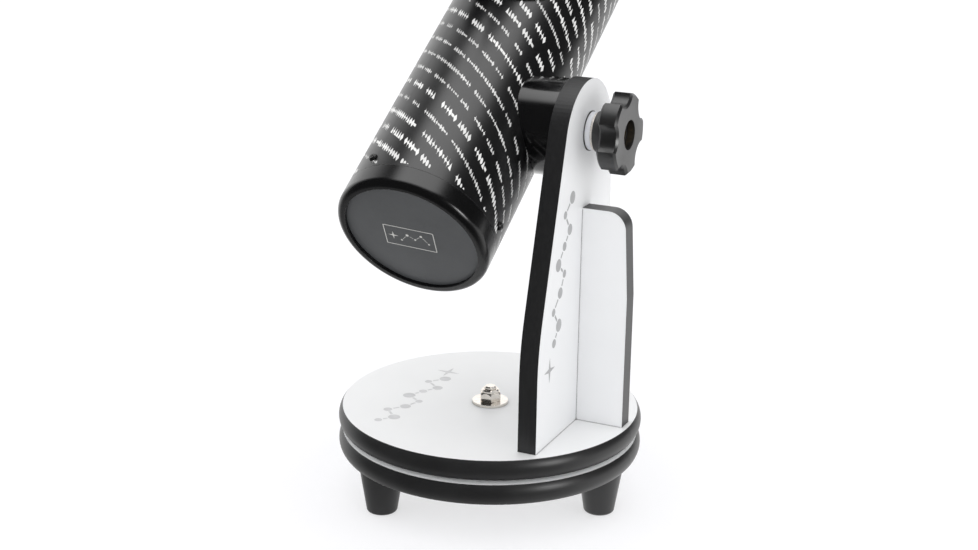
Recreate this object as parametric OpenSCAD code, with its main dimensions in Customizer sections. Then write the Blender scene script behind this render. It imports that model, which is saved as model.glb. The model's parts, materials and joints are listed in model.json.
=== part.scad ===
// Tabletop dobsonian reflector on a single-arm base.
// Z is up and the floor is z = 0. The altitude axis runs along X, and the tube's front points to +Y.

/* [Base] */
// Radius of the white face of the boards
board_r = 98.9; // [98.5:0.1:99.5]
// Thickness of the boards
board_t = 13.4; // [13:0.1:14]
// Gap between the ground board and the rocker board
board_gap = 3; // [2.8:0.1:3.2]
// How far the crowned rim stands out
rim_bulge = 2.6; // [2:0.1:3]
// Height of the feet
foot_h = 30.2; // [29:0.1:32]
// Radius of the circle that the feet stand on
foot_pcr = 83; // [81:0.5:84]

/* [Arm] */
// X of the arm's outer face
arm_x = 63.3; // [63:0.1:64]
// Thickness of the arm and of its brace
panel_t = 12.4; // [12:0.1:12.6]
// Thickness of the edge bands
band_t = 0.9; // [0.5:0.1:1.2]
// How far the brace stands out from the arm
brace_w = 32.2; // [30:0.1:33]
// Height of the brace above the rocker board
brace_h = 144; // [130:1:146]

/* [Tube] */
// Outer radius of the optical tube
tube_r = 50.2; // [50:0.1:50.4]
// Altitude of the tube at rest, in degrees
alt_deg = 33; // [20:1:40]
// Length of the tube in front of the altitude axis
front_len = 162.6; // [160:0.1:163]
// Length of the tube behind the altitude axis
rear_len = 108.4; // [107:0.1:109]
// Distance of the focuser in front of the altitude axis
focuser_s = 100.6; // [100:0.1:101.5]

/* [Hidden] */
$fn = 96;
eps = 0.01;
run_gap = 0.05;  // radial clearance of a running fit

// Levels of the base
lower_z = foot_h;
upper_z = lower_z + board_t + board_gap;
deck_z = upper_z + board_t;
crown_r = (pow(board_t / 2, 2) + pow(rim_bulge, 2)) / (2 * rim_bulge);
foot_angles = [-4, 116, 237];
pad_angles = [50, 170, 290];
foot_top_r = 14.7;
foot_tip_r = 10.3;
foot_round = 2.5;
bolt_r = 4;
nut_af = 13;

// Altitude axis in the base frame, and the row's offset that centres its footprint
alt_y = 7.2;
alt_z = deck_z + 192;
tube_x = -17;
arm_in_x = arm_x - panel_t;
cell_round_r = 4;
cell_round_s = 4.5;
ring_round = 2;
rear_y = alt_y + (cell_round_s - rear_len) * cos(alt_deg) - (tube_r - cell_round_r) * sin(alt_deg)
    - norm([cell_round_s * cos(alt_deg), cell_round_r * sin(alt_deg)]);
front_y = alt_y + (front_len - ring_round) * cos(alt_deg) + (tube_r - ring_round) * sin(alt_deg)
    + ring_round;
row_y = -(front_y + rear_y) / 2;

// Tube
wall = 0.8;
bore_r = tube_r - wall;
fit = 0.05;
tube_rear_s = 15 - rear_len;
tube_front_s = front_len - 8;
cell_screw_s = tube_rear_s + 8;
ring_screw_s = tube_front_s - 6;
recess_r = 44;
panel_recess = 2.4;
mirror_r = 38;
mirror_t = 8;
mirror_radius = 600;
web_s = panel_recess + 3.5 - rear_len;
pad_t = 1;
mirror_s = web_s + pad_t;
spider_s = focuser_s + 27;
vane_t = 0.9;
vane_w = 14;

// Hub between the tube and the arm
hub_r = 31.4;
hub_wall = 3;
disc_t = 0.8;
hub_end_x = arm_in_x - disc_t;
stud_r = 5;
washer_out_r = 12.2;
rubber_t = 0.6;
nylon_t = 3.4;
steel_t = 1.6;
nylon_x = arm_x + rubber_t;
steel_x = nylon_x + nylon_t;
knob_x = steel_x + steel_t;
star_x = knob_x + 7.4;
star_t = 13;
insert_end_x = star_x + star_t - 5.5;

// Focuser, with distances from the tube's axis
draw_r = 18.5;
eyepiece_r = 15.87;
draw_top = 104;
draw_low = 58;
base_top = 88;
flange_t = 2.6;
flange_r = 41;
flange_w = 62;
shaft_t = 72;
module_mm = 0.8;
pinion_teeth = 12;
pitch_r = module_mm * pinion_teeth / 2;
tooth_pitch = PI * module_mm;
rack_x = -20.2;
shaft_x = rack_x - pitch_r;
shaft_r = 2;
backlash = 0.25;

// Frames
module base_frame() translate([0, row_y, 0]) children();

module axis_frame() base_frame() translate([0, alt_y, alt_z]) children();

module along_x(x) translate([x, 0, 0]) rotate([0, 90, 0]) children();

module tube_frame() axis_frame() translate([tube_x, 0, 0]) rotate([alt_deg - 90, 0, 0]) children();

// Local Z points out of the tube, at an angle from its top towards the arm
module radial(angle, s) rotate([0, 0, angle]) translate([0, 0, s]) rotate([90, 0, 0]) children();

module focuser_frame() tube_frame() radial(0, focuser_s) children();

// Shared shapes
module ring(r_out, r_in, h) {
    difference() {
        cylinder(r = r_out, h = h);
        translate([0, 0, -1]) cylinder(r = r_in, h = h + 2);
    }
}

module cross_slot(size, depth) {
    for (a = [0, 90]) {
        rotate([0, 0, a]) translate([-size / 2, -size / 12, -depth]) cube([size, size / 6, depth + 1]);
    }
}

// Screw with its head's seat at z = 0
module pan_screw(r, len, head_r, head_h) {
    difference() {
        union() {
            translate([0, 0, -len]) cylinder(r = r, h = len + eps, $fn = 32);
            cylinder(r = head_r, h = head_h / 2, $fn = 40);
            translate([0, 0, head_h / 2]) {
                cylinder(r1 = head_r, r2 = head_r * 0.72, h = head_h / 2, $fn = 40);
            }
        }
        translate([0, 0, head_h]) cross_slot(head_r * 1.1, head_h / 2);
    }
}

// Countersunk screw with its head's top at z = 0
module flat_screw(r, len, head_r) {
    cone_h = head_r - r;
    difference() {
        union() {
            translate([0, 0, -len]) cylinder(r = r, h = len - cone_h + eps, $fn = 32);
            translate([0, 0, -cone_h]) cylinder(r1 = r, r2 = head_r, h = cone_h, $fn = 40);
        }
        cross_slot(head_r * 1.1, head_r / 4);
    }
}

// Hole for a countersunk screw
module sink(r, len, head_r) {
    cone_h = head_r - r;
    translate([0, 0, -len]) cylinder(r = r + fit, h = len, $fn = 32);
    translate([0, 0, -cone_h]) cylinder(r1 = r + fit, r2 = head_r + fit, h = cone_h, $fn = 40);
    translate([0, 0, -eps]) cylinder(r = head_r + fit, h = 1, $fn = 40);
}

// Small screw used on the tube, its clearance hole and its tight hole
small_screw_r = 1.5;
small_head_r = 2.8;
small_head_h = 1.8;

module small_screw(len) pan_screw(small_screw_r - fit, len, small_head_r, small_head_h);

module clear_hole(h) cylinder(r = small_screw_r + fit, h = h, $fn = 24);

module tight_hole(h) cylinder(r = small_screw_r, h = h, $fn = 24);

module at_feet() for (a = foot_angles) rotate([0, 0, a]) translate([foot_pcr, 0, 0]) children();

module round_board(z) translate([0, 0, z]) cylinder(r = board_r, h = board_t, $fn = 180);

// Crowned band whose outer face is an arc
module round_rim(z) {
    translate([0, 0, z + board_t / 2]) rotate_extrude($fn = 180) intersection() {
        translate([board_r + rim_bulge - crown_r, 0]) circle(r = crown_r, $fn = 180);
        translate([board_r, -board_t / 2]) square([rim_bulge + 1, board_t]);
    }
}

// Ground board and what stands still with it
foot_screw_r = 2.4;
foot_screw_len = 22;
foot_screw_head_r = 4.8;
foot_screw_head_h = 3;
foot_recess_r = 5.5;
foot_seat = 12;
pad_r = 11;
pad_pcr = 70;
bolt_head_t = 5.3;
bolt_edge = 0.8;

module ground_board() {
    color("whitesmoke") base_frame() difference() {
        round_board(lower_z);
        translate([0, 0, lower_z - 1]) cylinder(r = bolt_r + fit, h = board_t + 2);
        at_feet() cylinder(r = foot_screw_r, h = foot_seat + foot_screw_len, $fn = 32);
    }
}

module ground_rim() color("dimgray") base_frame() round_rim(lower_z);

module feet() {
    color("#262626") base_frame() at_feet() difference() {
        rotate_extrude() polygon(concat(
            [[0, 0], [foot_tip_r - foot_round, 0]],
            [for (a = [15:15:90]) [foot_tip_r - foot_round * (1 - sin(a)), foot_round * (1 - cos(a))]],
            [[foot_top_r, foot_h], [0, foot_h]]
        ));
        translate([0, 0, -1]) cylinder(r = foot_recess_r, h = foot_seat + 1, $fn = 40);
        cylinder(r = foot_screw_r + fit, h = foot_h + 1, $fn = 32);
    }
}

module foot_screws() {
    color("silver") base_frame() at_feet() translate([0, 0, foot_seat]) rotate([180, 0, 0]) {
        pan_screw(foot_screw_r, foot_screw_len, foot_screw_head_r, foot_screw_head_h);
    }
}

module glide_pads() {
    color("white") base_frame() for (a = pad_angles) rotate([0, 0, a]) {
        translate([pad_pcr, 0, lower_z + board_t]) cylinder(r = pad_r, h = board_gap, $fn = 48);
    }
}

washer_r = 12;
washer_t = 1.8;
nut_t = 8;
hex_t = 6;
collar_out_r = 6;
collar_edge = 0.8;
bolt_top = deck_z + washer_t + nut_t + 2;

module azimuth_bolt() {
    color("silver") base_frame() {
        translate([0, 0, lower_z - 1]) {
            cylinder(r = bolt_r, h = bolt_top - bolt_edge - lower_z + 1, $fn = 48);
        }
        translate([0, 0, bolt_top - bolt_edge]) {
            cylinder(r1 = bolt_r, r2 = bolt_r - bolt_edge, h = bolt_edge, $fn = 48);
        }
        translate([0, 0, lower_z - bolt_head_t]) cylinder(d = nut_af / cos(30), h = bolt_head_t, $fn = 6);
    }
}

module azimuth_washer() {
    color("silver") base_frame() translate([0, 0, deck_z]) ring(washer_r, bolt_r + fit, washer_t);
}

// Self-locking nut: a hexagon with a chamfered top and a round collar
module azimuth_nut() {
    color("silver") base_frame() translate([0, 0, deck_z + washer_t]) difference() {
        union() {
            intersection() {
                cylinder(d = nut_af / cos(30), h = hex_t, $fn = 6);
                cylinder(r1 = nut_af / 2, r2 = nut_af / 2 + 2 * hex_t, h = hex_t);
                cylinder(r1 = nut_af / 2 + 0.6 * hex_t, r2 = nut_af / 2, h = hex_t);
            }
            cylinder(r = collar_out_r, h = nut_t - collar_edge);
            translate([0, 0, nut_t - collar_edge]) {
                cylinder(r1 = collar_out_r, r2 = collar_out_r - collar_edge, h = collar_edge);
            }
        }
        translate([0, 0, -1]) cylinder(r = bolt_r + fit, h = nut_t + 2, $fn = 48);
    }
}

// Rocker board, arm and brace
bush_r = 7;
arm_bush_r = stud_r + 3;
panel_screw_r = 2.5;
panel_screw_head = 5;
panel_screw_len = 45;
panel_screw_y = [-55, -20, 30];
brace_y = 3.4;
brace_screw_z = [95, 165];
brace_screw_len = 38;

module at_panel_screws() {
    for (y = panel_screw_y) translate([arm_x - panel_t / 2, y, upper_z]) rotate([180, 0, 0]) children();
    translate([arm_x + brace_w * 0.6, brace_y, upper_z]) rotate([180, 0, 0]) children();
}

module at_brace_screws() {
    for (z = brace_screw_z) translate([arm_in_x, brace_y, z]) rotate([0, -90, 0]) children();
}

module panel_screw_holes() at_panel_screws() sink(panel_screw_r, panel_screw_len, panel_screw_head);

module brace_screw_holes() at_brace_screws() sink(panel_screw_r, brace_screw_len, panel_screw_head);

module rocker_board() {
    color("whitesmoke") base_frame() difference() {
        round_board(upper_z);
        translate([0, 0, upper_z - 1]) cylinder(r = bush_r, h = board_t + 2);
        panel_screw_holes();
    }
}

module rocker_rim() color("dimgray") base_frame() round_rim(upper_z);

module azimuth_bush() {
    color("white") base_frame() translate([0, 0, upper_z]) ring(bush_r, bolt_r + run_gap, board_t);
}

// Arm outline as [y, z]: an upright foot, an eased bend, a straight taper and a round top
arm_front_y = -69.1;
arm_bend_z = 105;
arm_bend_r = 150;
arm_bend_y = arm_front_y + arm_bend_r;
arm_front_lean = 16;
arm_rear_lean = 3.4;
arm_top_r = 38.7;
arm_top_y = 5.2;
arm_top_z = deck_z + 186.6;

module arm_outline(inset) {
    bend_r = arm_bend_r - inset;
    top_r = arm_top_r - inset;
    rear_y0 = arm_top_y + top_r * cos(arm_rear_lean);
    rear_z0 = arm_top_z + top_r * sin(arm_rear_lean);
    bend = [for (a = [0:2:arm_front_lean]) [arm_bend_y - bend_r * cos(a), arm_bend_z + bend_r * sin(a)]];
    top = [for (a = [180 - arm_front_lean:-4:arm_rear_lean + 2]) [top_r * cos(a), top_r * sin(a)]];
    polygon(concat(
        [[arm_front_y + inset, deck_z]],
        bend,
        [for (p = top) p + [arm_top_y, arm_top_z]],
        [[rear_y0, rear_z0], [rear_y0 + (rear_z0 - deck_z) * tan(arm_rear_lean), deck_z]]
    ));
}

// A [y, z] outline raised along X from the arm's inner face
module arm_plate() translate([arm_in_x, 0, 0]) rotate([90, 0, 90]) linear_extrude(panel_t) children();

module arm_panel() {
    color("white") base_frame() difference() {
        arm_plate() arm_outline(band_t);
        translate([arm_in_x - 1, alt_y, alt_z]) rotate([0, 90, 0]) {
            cylinder(r = arm_bush_r, h = panel_t + 2);
        }
        panel_screw_holes();
        brace_screw_holes();
    }
}

module arm_edge_band() {
    color("#333333") base_frame() arm_plate() difference() {
        arm_outline(0);
        arm_outline(band_t);
    }
}

module altitude_bush() {
    color("white") axis_frame() along_x(arm_in_x) ring(arm_bush_r, stud_r + run_gap, panel_t);
}

// Brace outline as [x, z]: upright, then leaning in to a rounded outer corner
brace_corner = 12;
brace_bend_z = deck_z + 88;
brace_lean = 3.2;

module brace_outline(inset) {
    x_out = arm_x + brace_w - inset;
    top = deck_z + brace_h - inset;
    r = brace_corner - inset;
    x_corner = x_out - (top - r - brace_bend_z) * tan(brace_lean) - r;
    polygon([
        [arm_x, deck_z], [x_out, deck_z], [x_out, brace_bend_z],
        [x_corner + r * cos(brace_lean), top - r * (1 - sin(brace_lean))], [x_corner, top - r],
        [x_corner, top], [arm_x, top]
    ]);
    translate([x_corner, top - r]) circle(r = r);
}

module brace_plate() {
    translate([0, brace_y + panel_t / 2, 0]) rotate([90, 0, 0]) linear_extrude(panel_t) children();
}

module brace_panel() {
    color("white") base_frame() difference() {
        brace_plate() brace_outline(band_t);
        panel_screw_holes();
        brace_screw_holes();
    }
}

module brace_edge_band() {
    color("gray") base_frame() brace_plate() difference() {
        brace_outline(0);
        brace_outline(band_t);
    }
}

module panel_screws() {
    color("silver") base_frame() at_panel_screws() {
        flat_screw(panel_screw_r, panel_screw_len, panel_screw_head);
    }
}

module brace_screws() {
    color("#262626") base_frame() at_brace_screws() {
        flat_screw(panel_screw_r, brace_screw_len, panel_screw_head);
    }
}

// Optical tube
cell_screw_angles = [-27, 93, 213];
ring_screw_angles = [30, 150, 270];
vane_angles = [60, 180, 300];
focuser_hole_r = 21;
out = 60;
tube_screw_len = 4;
vane_screw_len = 6;

module tube() {
    color("#2b2b2b") tube_frame() difference() {
        translate([0, 0, tube_rear_s]) ring(tube_r, bore_r, tube_front_s - tube_rear_s);
        radial(0, focuser_s) cylinder(r = focuser_hole_r, h = out);
        for (a = cell_screw_angles) radial(a, cell_screw_s) clear_hole(out);
        for (a = ring_screw_angles) radial(a, ring_screw_s) clear_hole(out);
        for (a = vane_angles) radial(a, spider_s) clear_hole(out);
        at_saddle_screws() clear_hole(out);
        at_focuser_screws() clear_hole(out);
    }
}

web_t = 2;
skirt_len = 16;
panel_plate_t = 1.5;

module rear_cell() {
    corner_r = tube_r - cell_round_r;
    corner_s = cell_round_s - rear_len;
    skirt_r = bore_r - fit;
    color("#1c1c1c") tube_frame() difference() {
        rotate_extrude($fn = 180) polygon(concat(
            [[0, web_s], [0, web_s - web_t], [recess_r, web_s - web_t], [recess_r, -rear_len]],
            [for (a = [90:-10:0]) [corner_r + cell_round_r * cos(a), corner_s - cell_round_s * sin(a)]],
            [[tube_r, tube_rear_s - fit], [skirt_r, tube_rear_s - fit], [skirt_r, tube_rear_s + skirt_len]],
            [[bore_r - 2, tube_rear_s + skirt_len], [bore_r - 2, web_s]]
        ));
        for (a = cell_screw_angles) radial(a, cell_screw_s) tight_hole(out);
        at_clips() translate([0, 0, -web_t - 1]) tight_hole(web_t + 2);
    }
}

module rear_panel() {
    color("#505254") tube_frame() translate([0, 0, panel_recess - rear_len]) {
        cylinder(r = recess_r - fit, h = panel_plate_t, $fn = 180);
    }
}

module rear_cell_screws() {
    color("#1a1a1a") tube_frame() for (a = cell_screw_angles) radial(a, cell_screw_s) {
        translate([0, 0, tube_r]) small_screw(tube_screw_len);
    }
}

clip_angles = [30, 150, 270];
clip_r = mirror_r + 4;
clip_w = 10;
clip_t = 2;
clip_post_w = 7;
clip_lip = 2.5;
clip_post = pad_t + mirror_t;
mirror_pad_r = 6;

module at_clips() for (a = clip_angles) rotate([0, 0, a]) translate([clip_r, 0, web_s]) children();

// Concave front face, as a revolved parabola
module primary_mirror() {
    rim_sag = pow(mirror_r, 2) / (2 * mirror_radius);
    curve = [for (r = [mirror_r:-mirror_r / 10:0]) [r, mirror_t - rim_sag + pow(r, 2) / (2 * mirror_radius)]];
    color("lightsteelblue") tube_frame() translate([0, 0, mirror_s]) rotate_extrude($fn = 180) {
        polygon(concat([[0, 0], [mirror_r, 0]], curve));
    }
}

module mirror_pads() {
    color("#3a3a3a") tube_frame() for (a = clip_angles) rotate([0, 0, a]) {
        translate([mirror_r * 0.7, 0, web_s]) cylinder(r = mirror_pad_r, h = pad_t, $fn = 40);
    }
}

module mirror_clips() {
    color("#1c1c1c") tube_frame() difference() {
        at_clips() {
            translate([-clip_post_w / 2, -clip_w / 2, 0]) cube([clip_post_w, clip_w, clip_post + clip_t]);
            translate([mirror_r - clip_r - clip_lip, -clip_w / 2, clip_post]) {
                cube([2 * clip_lip, clip_w, clip_t]);
            }
        }
        translate([0, 0, web_s - 1]) cylinder(r = mirror_r + fit, h = clip_post + 1, $fn = 180);
        at_clips() translate([0, 0, -1]) clear_hole(clip_post + clip_t + 2);
    }
}

module clip_screws() {
    color("silver") tube_frame() at_clips() translate([0, 0, clip_post + clip_t]) {
        small_screw(clip_post + clip_t + web_t - 0.5);
    }
}

ring_skirt = 6;
ring_lip = 3;

module front_ring() {
    skirt_r = bore_r - fit;
    skirt_s = ring_screw_s - ring_skirt;
    color("#1c1c1c") tube_frame() difference() {
        rotate_extrude($fn = 180) polygon(concat(
            [[bore_r - 2, skirt_s], [skirt_r, skirt_s], [skirt_r, tube_front_s + fit]],
            [[tube_r, tube_front_s + fit]],
            [for (a = [0:15:90]) [tube_r - ring_round * (1 - cos(a)), front_len - ring_round * (1 - sin(a))]],
            [[bore_r - ring_lip, front_len], [bore_r - ring_lip, tube_front_s], [bore_r - 2, tube_front_s]]
        ));
        for (a = ring_screw_angles) radial(a, ring_screw_s) tight_hole(out);
    }
}

module front_ring_screws() {
    color("#1a1a1a") tube_frame() for (a = ring_screw_angles) radial(a, ring_screw_s) {
        translate([0, 0, tube_r]) small_screw(tube_screw_len);
    }
}

// Secondary mirror on three vanes
spider_hub_r = 9;
spider_hub_t = 16;
vane_end_r = 3.2;
vane_end_t = 6.6;
holder_r = 9.5;
mirror_back = 4;
tilt_screw_pcr = 5.2;
tilt_screw_len = 17.6;
tilt_head_r = 2.3;
tilt_head_h = 1.6;

module spider() {
    color("#222222") tube_frame() difference() {
        union() {
            translate([0, 0, spider_s - spider_hub_t / 2]) {
                cylinder(r = spider_hub_r, h = spider_hub_t, $fn = 64);
            }
            for (a = vane_angles) radial(a, spider_s) {
                translate([-vane_t / 2, -vane_w / 2, 0]) cube([vane_t, vane_w, bore_r - 5]);
                translate([0, 0, bore_r - vane_end_t - 0.4]) {
                    cylinder(r = vane_end_r, h = vane_end_t, $fn = 32);
                }
            }
        }
        for (a = vane_angles) radial(a, spider_s) translate([0, 0, bore_r - vane_screw_len]) {
            tight_hole(out);
        }
        at_tilt_screws() translate([0, 0, -out / 2]) tight_hole(out);
    }
}

module spider_screws() {
    color("#1a1a1a") tube_frame() for (a = vane_angles) radial(a, spider_s) {
        translate([0, 0, tube_r]) small_screw(vane_screw_len);
    }
}

module at_tilt_screws() {
    for (a = [0:120:240]) rotate([0, 0, a]) translate([tilt_screw_pcr, 0, spider_s + spider_hub_t / 2]) {
        children();
    }
}

module collimation_screws() {
    color("silver") tube_frame() at_tilt_screws() {
        pan_screw(small_screw_r - fit, tilt_screw_len, tilt_head_r, tilt_head_h);
    }
}

// Space on the front side of the secondary mirror's 45 degree back face
module front_of_mirror(offset) {
    side = 60;
    translate([0, 0, focuser_s]) rotate([45, 0, 0]) translate([-side / 2, -side / 2, offset]) cube(side);
}

module mirror_rod(r, top) {
    low = focuser_s - 2 * holder_r;
    translate([0, 0, low]) cylinder(r = r, h = top - low, $fn = 64);
}

module secondary_holder() {
    color("#1c1c1c") tube_frame() intersection() {
        mirror_rod(holder_r, spider_s + spider_hub_t / 2 - tilt_screw_len);
        front_of_mirror(mirror_back);
    }
}

module secondary_mirror() {
    color("lightsteelblue") tube_frame() difference() {
        intersection() {
            mirror_rod(holder_r + 0.5, focuser_s + 2 * holder_r);
            front_of_mirror(0);
        }
        front_of_mirror(mirror_back);
    }
}

// Glossy hub that carries the tube on the arm
saddle_screw_s = [-22, 22];
boss_r = 4;
core_r = stud_r + 6;
hub_floor = 5;
saddle_screw_len = 12;

module at_saddle_screws() for (s = saddle_screw_s) radial(90, s) children();

module saddle() {
    boss_len = hub_end_x - tube_x;
    color("#161616") difference() {
        union() {
            axis_frame() along_x(0) difference() {
                cylinder(r = hub_r, h = hub_end_x, $fn = 180);
                translate([0, 0, -1]) cylinder(r = hub_r - hub_wall, h = hub_end_x - hub_floor + 1);
            }
            axis_frame() along_x(0) cylinder(r = core_r, h = hub_end_x - 1);
            tube_frame() at_saddle_screws() cylinder(r = boss_r, h = boss_len - 2, $fn = 40);
        }
        tube_frame() translate([0, 0, -out]) cylinder(r = tube_r + fit, h = 2 * out, $fn = 180);
        tube_frame() at_saddle_screws() tight_hole(boss_len - 3);
        axis_frame() along_x(0) cylinder(r = stud_r, h = hub_end_x + 1);
    }
}

module saddle_screws() {
    color("silver") tube_frame() at_saddle_screws() translate([0, 0, bore_r - 0.3]) rotate([180, 0, 0]) {
        small_screw(saddle_screw_len);
    }
}

stud_start_x = tube_x + tube_r + 1;
stud_end_x = insert_end_x - 1;

module altitude_stud() {
    color("silver") axis_frame() {
        along_x(stud_start_x) cylinder(r = stud_r, h = stud_end_x - stud_start_x - 1, $fn = 64);
        along_x(stud_end_x - 1) cylinder(r1 = stud_r, r2 = stud_r - 1, h = 1, $fn = 64);
    }
}

module hub_washer(x, r, t) axis_frame() along_x(x) ring(r, stud_r + fit, t);

module friction_disc() color("#dddddd") hub_washer(hub_end_x, hub_r - 3, disc_t);

module rubber_washer() color("#1a1a1a") hub_washer(arm_x, washer_out_r + 0.4, rubber_t);

module nylon_washer() color("white") hub_washer(nylon_x, washer_out_r, nylon_t);

module steel_washer() color("silver") hub_washer(steel_x, washer_out_r, steel_t);

// Star knob: five broad lobes with scooped hollows between them, chamfered on both faces
knob_r = 26;
lobe_count = 5;
lobe_turn = 86;
scoop_c = 30.6;
scoop_r = 10.4;
knob_chamfer = 1.5;
collar_r = 13;
insert_r = 8;
socket_r = 9.5;

module scoop() {
    translate([0, 0, -1]) cylinder(r = scoop_r, h = star_t + 2);
    translate([0, 0, -eps]) cylinder(r1 = scoop_r + knob_chamfer, r2 = scoop_r, h = knob_chamfer);
    translate([0, 0, star_t - knob_chamfer + eps]) {
        cylinder(r1 = scoop_r, r2 = scoop_r + knob_chamfer, h = knob_chamfer);
    }
}

module clutch_knob() {
    color("#2a2a2a") axis_frame() difference() {
        union() {
            along_x(knob_x) cylinder(r = collar_r, h = star_x - knob_x + 1);
            along_x(star_x) difference() {
                union() {
                    cylinder(r1 = knob_r - knob_chamfer, r2 = knob_r, h = knob_chamfer);
                    translate([0, 0, knob_chamfer]) cylinder(r = knob_r, h = star_t - 2 * knob_chamfer);
                    translate([0, 0, star_t - knob_chamfer]) {
                        cylinder(r1 = knob_r, r2 = knob_r - knob_chamfer, h = knob_chamfer);
                    }
                }
                for (i = [0:lobe_count - 1]) rotate(lobe_turn + (i + 0.5) * 360 / lobe_count) {
                    translate([scoop_c, 0, 0]) scoop();
                }
            }
        }
        along_x(knob_x - 1) cylinder(r = insert_r, h = insert_end_x - knob_x + 1);
        along_x(insert_end_x) cylinder(r = socket_r, h = star_t);
    }
}

module knob_insert() {
    color("goldenrod") axis_frame() along_x(knob_x) ring(insert_r, stud_r + run_gap, insert_end_x - knob_x);
}

// Focuser: a base screwed on the tube, with the pinion in a housing at its side
focuser_screw_angles = [-26, 26];
focuser_screw_s = [-27, 27];
focuser_screw_len = 6;
body_low = 30;
body_step = 60;
body_out_r = 26;
neck_r = 23;
neck_cone = 4;
lip_r = 24.2;
lip_h = 4;
relief_x = 22;
house_x = shaft_x - 8;
house_side = 20;
house_w = 22;
cavity_r = pitch_r + 1.6;
cavity_w = 12;
slot_w = 5.6;
cover_t = 2.5;
cover_screw_y = [-8.5, 8.5];
cover_screw_t = [-7.5, 7.5];
cover_screw_r = 1.05;
cover_hole_r = 1.1;
cover_screw_len = 7;
cover_head_r = 2;
cover_head_h = 1.3;

module at_focuser_screws() {
    for (a = focuser_screw_angles, s = focuser_screw_s) radial(a, focuser_s + s) children();
}

module at_shaft() focuser_frame() translate([shaft_x, 0, shaft_t]) rotate([90, 0, 0]) children();

// Flange that follows the tube, with rounded ends
module focuser_flange() intersection() {
    focuser_frame() translate([-flange_w / 2, -flange_r, 0]) cube([flange_w, 2 * flange_r, base_top]);
    focuser_frame() cylinder(r = flange_r, h = base_top, $fn = 180);
    tube_frame() translate([0, 0, focuser_s - out]) cylinder(r = tube_r + flange_t, h = 2 * out, $fn = 180);
}

module focuser_body() {
    translate([0, 0, body_low]) cylinder(r = body_out_r, h = body_step - body_low, $fn = 120);
    translate([0, 0, body_step]) cylinder(r1 = body_out_r, r2 = neck_r, h = neck_cone, $fn = 120);
    translate([0, 0, body_step]) cylinder(r = neck_r, h = base_top - body_step, $fn = 120);
    translate([0, 0, base_top - lip_h]) cylinder(r = lip_r, h = lip_h, $fn = 120);
    translate([house_x, -house_w / 2, shaft_t - house_side / 2]) cube([relief_x, house_w, house_side]);
}

module focuser_base() {
    color("#1c1c1c") difference() {
        union() {
            focuser_flange();
            focuser_frame() focuser_body();
        }
        tube_frame() translate([0, 0, focuser_s - out]) cylinder(r = tube_r + fit, h = 2 * out, $fn = 180);
        focuser_frame() cylinder(r = draw_r + run_gap, h = 2 * out, $fn = 120);
        focuser_frame() translate([-relief_x, -slot_w / 2, 0]) cube([relief_x, slot_w, 2 * out]);
        at_shaft() translate([0, 0, -cavity_w / 2]) cylinder(r = cavity_r, h = cavity_w, $fn = 48);
        at_shaft() translate([0, 0, -house_w]) cylinder(r = shaft_r + run_gap, h = 2 * house_w, $fn = 48);
        focuser_frame() translate([house_x - 1, -cavity_w / 2, shaft_t - cavity_r]) {
            cube([shaft_x - house_x + 1, cavity_w, 2 * cavity_r]);
        }
        at_cover_screws() translate([0, 0, -cover_screw_len]) {
            cylinder(r = cover_hole_r, h = cover_screw_len + 1, $fn = 24);
        }
        tube_frame() at_focuser_screws() clear_hole(base_top);
    }
}

module focuser_screws() {
    color("silver") tube_frame() at_focuser_screws() translate([0, 0, tube_r + flange_t]) {
        small_screw(focuser_screw_len);
    }
}

module at_cover_screws() {
    for (y = cover_screw_y, t = cover_screw_t) {
        focuser_frame() translate([house_x, y, shaft_t + t]) rotate([0, -90, 0]) children();
    }
}

module pinion_cover() {
    color("#262626") difference() {
        focuser_frame() translate([house_x - cover_t, -house_w / 2, shaft_t - house_side / 2]) {
            cube([cover_t, house_w, house_side]);
        }
        at_cover_screws() translate([0, 0, -1]) cylinder(r = cover_hole_r, h = cover_t + 2, $fn = 24);
    }
}

module pinion_cover_screws() {
    color("silver") at_cover_screws() translate([0, 0, cover_t]) {
        pan_screw(cover_screw_r, cover_screw_len, cover_head_r, cover_head_h);
    }
}

// One tooth in a [across, height] outline, centred on the pitch line
module tooth(height_out, height_in) {
    half = (tooth_pitch / 2 - backlash) / 2;
    lean = tan(20);
    polygon([
        [-half - height_in * lean, -height_in], [half + height_in * lean, -height_in],
        [half - height_out * lean, height_out], [-half + height_out * lean, height_out]
    ]);
}

rack_low = 60;
rack_len = 32;
rack_teeth = 15;
rack_half_w = 2.5;
rack_seat_x = -17.2;
tooth_out = 0.55;
tooth_in = 0.85;
draw_head_r = 20.5;
draw_head_h = 9;
thumb_t = draw_top - draw_head_h / 2;

module drawtube() {
    color("#333333") focuser_frame() difference() {
        union() {
            translate([0, 0, draw_low]) cylinder(r = draw_r, h = draw_top - draw_low, $fn = 120);
            translate([0, 0, draw_top - draw_head_h]) cylinder(r = draw_head_r, h = draw_head_h, $fn = 120);
        }
        translate([0, 0, draw_low - 1]) {
            cylinder(r = eyepiece_r + run_gap, h = draw_top - draw_low + 2, $fn = 120);
        }
        translate([rack_seat_x - 10, -rack_half_w - fit, draw_low - 1]) {
            cube([10, 2 * rack_half_w + 2 * fit, draw_top - draw_head_h - draw_low]);
        }
        translate([0, 0, thumb_t]) rotate([90, 0, 0]) {
            cylinder(r = small_screw_r + run_gap, h = 2 * draw_head_r, $fn = 32);
        }
    }
}

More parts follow.
